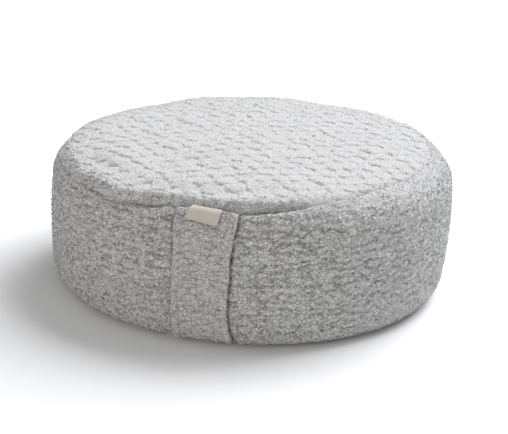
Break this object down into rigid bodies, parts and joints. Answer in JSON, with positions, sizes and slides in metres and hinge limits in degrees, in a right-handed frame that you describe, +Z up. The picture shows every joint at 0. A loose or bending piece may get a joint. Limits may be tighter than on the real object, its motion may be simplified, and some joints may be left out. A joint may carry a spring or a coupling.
{
  "type": "meditation cushion",
  "caption": "Round drum-shaped floor cushion with a crowned top, rounded edges, sewn seams, a flat carrying strap down one side and a bare sewn-in tab.",
  "frame": {"origin": "centre of the flat base, on the surface that the cushion stands on", "axes": "+Z up through the crown; the carrying strap is on the -Y side"},
  "size_m": [0.4223, 0.4172, 0.157],
  "materials": {
    "cover": "matte light grey knit with raised puffs and a short curly pile",
    "strap": "matte light grey knit, finer than the cover, with folded edges",
    "tab": "matte cream woven tape, bare"
  },
  "bodies": {
    "root": {"cushion": "cover", "handle": "strap", "label": "tab"}
  },
  "joints": []
}
